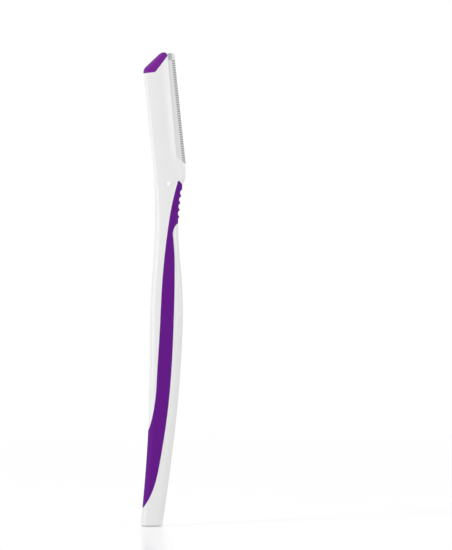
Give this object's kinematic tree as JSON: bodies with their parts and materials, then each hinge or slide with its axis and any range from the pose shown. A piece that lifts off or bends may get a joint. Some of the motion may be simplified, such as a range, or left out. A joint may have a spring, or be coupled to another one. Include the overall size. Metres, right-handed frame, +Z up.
{
  "type": "eyebrow razor",
  "caption": "Slim disposable face and eyebrow razor: white handle with a purple soft grip, guarded straight blade along the leaning head, ribbed thumb pad.",
  "frame": {"origin": "pinch point in the middle of the neck, between the ribbed thumb pad and the spine edge", "axes": "+Z up from the foot to the tip, +X towards the blade side, the face with the pip looks along -Y"},
  "size_m": [0.0144, 0.0046, 0.1494],
  "materials": {
    "white_plastic": "smooth moulded, satin gloss",
    "purple_soft_grip": "soft-touch overmould, low sheen",
    "purple_tip": "smooth overmould, brighter sheen",
    "blade_steel": "ground stainless strip",
    "guard_steel": "pale satin etched foil"
  },
  "bodies": {
    "root": {"handle_core": "white_plastic", "grip_overmould": "purple_soft_grip", "tip_cap": "purple_tip", "blade": "blade_steel", "guard_foil": "guard_steel"}
  },
  "joints": []
}
